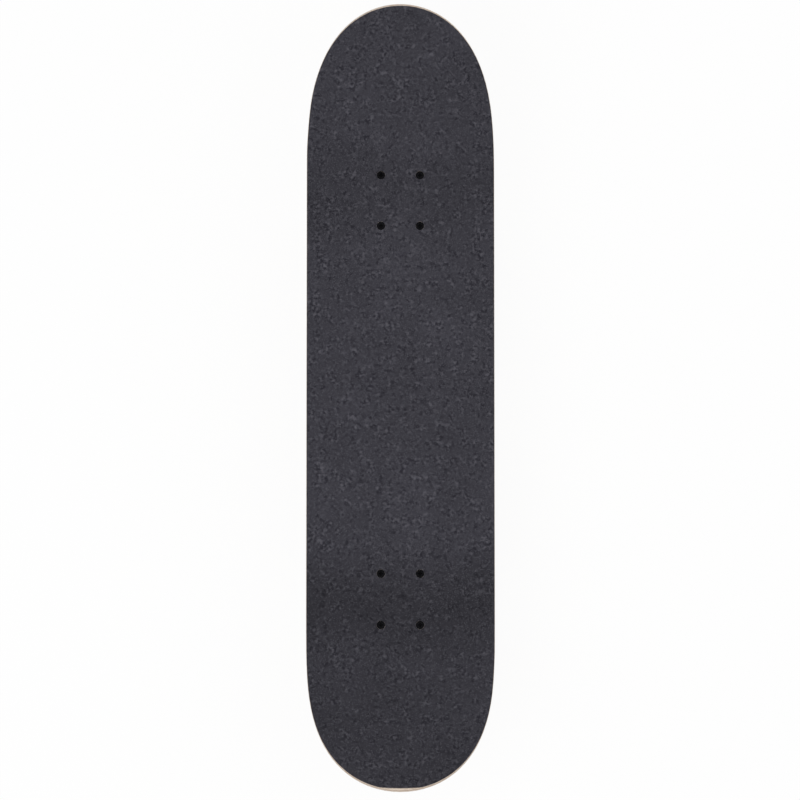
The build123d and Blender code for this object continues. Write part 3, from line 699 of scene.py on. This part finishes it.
def scuffCutter():
    # a prism that takes the worn strip off the sheet
    look = scuffLook
    low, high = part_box("grip_tape")
    edge = []
    for step in range(look["steps"] + 1):
        share = 2 * step / look["steps"] - 1
        wearAndShade = look["depth"] + (look["endDepth"] - look["depth"]) * share ** 2
        wearAndShade += look["ragged"] * sum(math.sin(t * share + t) for t in look["raggedTurns"]) / 2
        edge.append((look["halfWidth"] * share * mm, low.y + wearAndShade * mm))
    below = low.y - look["past"] * mm
    outline = edge + [(edge[-1][0], below), (edge[0][0], below)]
    work = bmesh.new()
    foot = [work.verts.new((x, y, high.z - look["drop"] * mm)) for x, y in outline]
    top = [work.verts.new((x, y, high.z + look["rise"] * mm)) for x, y in outline]
    work.faces.new(foot)
    work.faces.new(top)
    for i in range(len(foot)):
        j = (i + 1) % len(foot)
        work.faces.new((foot[i], foot[j], top[j], top[i]))
    bmesh.ops.recalc_face_normals(work, faces=work.faces)
    mesh = bpy.data.meshes.new("scuffCutter")
    work.to_mesh(mesh)
    work.free()
    obj = bpy.data.objects.new("scuffCutter", mesh)
    bpy.context.scene.collection.objects.link(obj)
    return obj


def makeGrip():
    sheet = mergedCopy("grip_tape", "gripSheet")
    cutter = scuffCutter()
    cut = sheet.modifiers.new("scuff", "BOOLEAN")
    cut.operation = "DIFFERENCE"
    cut.solver = "EXACT"
    cut.object = cutter
    bakeObject(sheet)
    bpy.data.objects.remove(cutter)
    sheet.data.shade_smooth()
    sheet.data.set_sharp_from_angle(angle=math.radians(35))
    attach(sheet, "board")
    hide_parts("grip_tape")
    print("grip sheet:", len(sheet.data.polygons), "faces")
    return sheet


gripSheet = makeGrip()


# coarse grains standing on the grip
gritLook = {
    "count": 150000.0,    # grains to the square metre
    "size": 0.42,         # mm
    "smallest": 0.45,     # share of that size
    "seed": 11,
    "upward": 0.7,        # least upward share of the face that a grain stands on
    "skinBelowTop": 0.9,  # mm kept clear under the model's highest point
}


def gritTree():
    tree, given = startTree("gritGrains", {
        "Density": "NodeSocketFloat", "Grain Size": "NodeSocketFloat",
        "Seed": "NodeSocketInt", "Highest": "NodeSocketFloat",
    })
    up = addNode(tree, "GeometryNodeInputNormal")
    parts = addNode(tree, "ShaderNodeSeparateXYZ", {0: up.outputs[0]})
    faceUp = addNode(tree, "FunctionNodeCompare", {0: parts.outputs[2], 1: gritLook["upward"]},
                     operation="GREATER_THAN")
    place = addNode(tree, "GeometryNodeInputPosition")
    height = addNode(tree, "ShaderNodeSeparateXYZ", {0: place.outputs[0]})
    below = addNode(tree, "FunctionNodeCompare", {0: height.outputs[2],
                    1: given.outputs["Highest"]}, operation="LESS_THAN")
    chosen = addNode(tree, "FunctionNodeBooleanMath", {0: faceUp.outputs[0],
                     1: below.outputs[0]}, operation="AND")
    points = addNode(tree, "GeometryNodeDistributePointsOnFaces",
                     {"Mesh": given.outputs["Geometry"], "Selection": chosen.outputs[0],
                      "Density": given.outputs["Density"], "Seed": given.outputs["Seed"]})
    grain = addNode(tree, "GeometryNodeMeshCone", {"Vertices": 3,
                    "Radius Top": 0.0, "Radius Bottom": given.outputs["Grain Size"],
                    "Depth": given.outputs["Grain Size"]}, fill_type="NGON")
    turn = addNode(tree, "FunctionNodeRandomValue", {1: (2 * math.pi,) * 3,
                   "Seed": given.outputs["Seed"]}, data_type="FLOAT_VECTOR")
    scale = addNode(tree, "FunctionNodeRandomValue", {2: gritLook["smallest"], 3: 1.0,
                    "Seed": given.outputs["Seed"]}, data_type="FLOAT")
    placed = addNode(tree, "GeometryNodeInstanceOnPoints",
                     {"Points": points.outputs[0], "Instance": grain.outputs[0],
                      "Rotation": turn.outputs[0], "Scale": scale.outputs[1]})
    return endTree(tree, placed.outputs[0], finishes["siliconCarbideGrip"])


def makeGrit():
    grains = bpy.data.objects.new("gripGrains", gripSheet.data.copy())
    bpy.context.scene.collection.objects.link(grains)
    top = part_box("grip_tape")[1].z - gritLook["skinBelowTop"] * mm
    runTree(grains, gritTree(), {
        "Density": gritLook["count"], "Grain Size": gritLook["size"] * mm,
        "Seed": gritLook["seed"], "Highest": top,
    })
    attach(grains, "board")
    print("grip grains:", len(grains.data.polygons))


makeGrit()


# threads that show past the nuts, and the nylon rings in the lock nuts, in mm
ridgeShare = 0.3              # of the pitch
ridgeSunk = 0.12              # middle of the ridge inside the thread's own radius
threadLook = {
    "deckBolt": {"radius": 2.38, "pitch": 0.79, "length": 2.7},
    "kingpin": {"radius": 4.75, "pitch": 1.06, "length": 1.3},
    "axle": {"radius": 3.97, "pitch": 1.06, "length": 1.0},
}
insertLook = {
    "deckBolt": {"inner": 2.42, "outer": 3.2},
    "kingpin": {"inner": 4.8, "outer": 5.6},
    "axle": {"inner": 4.02, "outer": 4.9},
}


def threadTree(material):
    tree, given = startTree("threadTurns", {
        "Pitch": "NodeSocketFloat", "Radius": "NodeSocketFloat",
        "Length": "NodeSocketFloat",
    })
    turns = addNode(tree, "ShaderNodeMath", {0: given.outputs["Length"],
                    1: given.outputs["Pitch"]}, operation="DIVIDE")
    helix = addNode(tree, "GeometryNodeCurveSpiral", {"Resolution": 28,
                    "Rotations": turns.outputs[0], "Start Radius": given.outputs["Radius"],
                    "End Radius": given.outputs["Radius"], "Height": given.outputs["Length"]})
    width = addNode(tree, "ShaderNodeMath", {0: given.outputs["Pitch"], 1: ridgeShare},
                    operation="MULTIPLY")
    ridge = addNode(tree, "GeometryNodeCurvePrimitiveCircle", {"Resolution": 4,
                    "Radius": width.outputs[0]})
    thread = addNode(tree, "GeometryNodeCurveToMesh", {"Curve": helix.outputs[0],
                     "Profile Curve": ridge.outputs[0], "Fill Caps": True})
    return endTree(tree, atSpots(tree, given, thread.outputs[0]), material)


def insertTree(material):
    tree, given = startTree("nylonRings", {
        "Middle Radius": "NodeSocketFloat", "Width": "NodeSocketFloat",
    })
    path = addNode(tree, "GeometryNodeCurvePrimitiveCircle", {"Resolution": 40,
                     "Radius": given.outputs["Middle Radius"]})
    ridge = addNode(tree, "GeometryNodeCurvePrimitiveCircle", {"Resolution": 8,
                    "Radius": given.outputs["Width"]})
    ring = addNode(tree, "GeometryNodeCurveToMesh", {"Curve": path.outputs[0],
                   "Profile Curve": ridge.outputs[0]})
    low = addNode(tree, "GeometryNodeTransform", {"Geometry": ring.outputs[0],
                  "Scale": (1.0, 1.0, 0.5)})
    return endTree(tree, atSpots(tree, given, low.outputs[0]), material)


def makeHardware():
    kingUp = (0.0, math.sin(math.radians(layout["kingpinLean"])),
              math.cos(math.radians(layout["kingpinLean"])))
    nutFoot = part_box("deck_lock_nuts")[0].z / mm
    down = Vector((0, 0, -1))
    deckSpots = [(Vector((x, y, nutFoot)) * mm, down) for x, y in boltSpots()]
    kingSpots = []
    axleSpots = {}
    for end in ends:
        foot = [c - layout["kingpinNutFoot"] * k
                for c, k in zip(layout["ringCentre"], kingUp)]
        kingSpots.append((truckPoint(end, foot), -truckWay(end, kingUp)))
        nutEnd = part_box(end + "_axle_nuts")[1].x / mm
        axleSpots[end] = [(truckPoint(end, (hand * nutEnd, 0, 0)),
                           truckWay(end, (hand, 0, 0))) for hand in (1, -1)]
        print("nuts end at", round(nutFoot, 3), round(nutEnd, 3))
    runs = [("deckBolt", "deckBolts", "board", deckSpots, "blackOxideSteel", "black_steel"),
            ("kingpin", "kingpins", "board", kingSpots, "zincPlatedSteel", "zinc_steel")]
    for end in ends:
        runs.append(("axle", end + "Axle", end + "_hanger", axleSpots[end],
                     "groundSteel", "axle_steel"))
    for kind, name, body, spots, finishName, slotName in runs:
        tree = threadTree(finishes[finishName])
        thread = spotMesh(name + "Threads", spots)
        look = threadLook[kind]
        runTree(thread, tree, {"Pitch": look["pitch"] * mm,
                "Radius": (look["radius"] - ridgeSunk) * mm, "Length": look["length"] * mm})
        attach(thread, body)
        tree = insertTree(finishes["mouldedNylon"])
        ring = spotMesh(name + "NylonRings", spots)
        look = insertLook[kind]
        runTree(ring, tree, {"Middle Radius": (look["inner"] + look["outer"]) / 2 * mm,
                "Width": (look["outer"] - look["inner"]) / 2 * mm})
        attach(ring, body)
    print("threads and nylon rings ready")


makeHardware()


# wire clips that hold the bearing shields in, each a ring with a gap
clipLook = {
    "radius": 9.3,        # mm, inside the outer ring's shoulder
    "wire": 0.26,         # mm, radius
    "gap": 22.0,          # degrees left open
}


def clipTree():
    tree, given = startTree("shieldClips", {
        "Radius": "NodeSocketFloat", "Wire": "NodeSocketFloat", "Sweep": "NodeSocketFloat",
    })
    ring = addNode(tree, "GeometryNodeCurveArc", {"Resolution": 72,
                   "Radius": given.outputs["Radius"], "Sweep Angle": given.outputs["Sweep"]})
    wire = addNode(tree, "GeometryNodeCurvePrimitiveCircle", {"Resolution": 8,
                   "Radius": given.outputs["Wire"]})
    clip = addNode(tree, "GeometryNodeCurveToMesh", {"Curve": ring.outputs[0],
                   "Profile Curve": wire.outputs[0], "Fill Caps": True})
    return endTree(tree, atSpots(tree, given, clip.outputs[0]), finishes["polishedSteel"])


def makeClips():
    tree = clipTree()
    for end in ends:
        for side in ("left", "right"):
            wheel = end + "_" + side
            low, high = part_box(wheel + "_shields")
            middle = (low + high) / 2
            spots = [(Vector((x, middle.y, middle.z)), Vector((way, 0, 0)))
                     for x, way in ((low.x, -1), (high.x, 1))]
            clips = spotMesh(end + side.capitalize() + "ShieldClips", spots)
            runTree(clips, tree, {"Radius": clipLook["radius"] * mm,
                    "Wire": clipLook["wire"] * mm,
                    "Sweep": math.radians(360 - clipLook["gap"])})
            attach(clips, wheel + "_wheel")
    print("shield clips ready")


makeClips()


# castings: the same solids with the soft corners that a foundry leaves
castingLook = {
    "voxel": 0.3,         # mm
    "softening": 34,      # passes, which round a corner to about a millimetre
    "most": 120000,       # triangles left after thinning
    # node, its finish and its slot
    "castings": {
        "baseplate": ("tumbledAluminium", "cast_aluminium"),
        "hanger": ("polishedAluminium", "hanger_aluminium"),
    },
}


def makeCastings():
    for end in ends:
        for node, (finishName, slotName) in castingLook["castings"].items():
            body = end + "_hanger" if node == "hanger" else "board"
            name = end + node.capitalize() + "Casting"
            cast = mergedCopy(end + "_" + node, name)
            skin = cast.modifiers.new("skin", "REMESH")
            skin.mode = "VOXEL"
            skin.voxel_size = castingLook["voxel"] * mm
            skin.use_smooth_shade = True
            soft = cast.modifiers.new("soft", "SMOOTH")
            soft.factor = 0.5
            soft.iterations = castingLook["softening"]
            bakeObject(cast)
            triangles = 2 * len(cast.data.polygons)
            thin = cast.modifiers.new("thin", "DECIMATE")
            thin.ratio = min(1.0, castingLook["most"] / triangles)
            bakeObject(cast)
            cast.data.materials.clear()
            cast.data.materials.append(finishes[finishName])
            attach(cast, body)
            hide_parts(end + "_" + node)
            print(name, "faces", len(cast.data.polygons))


makeCastings()
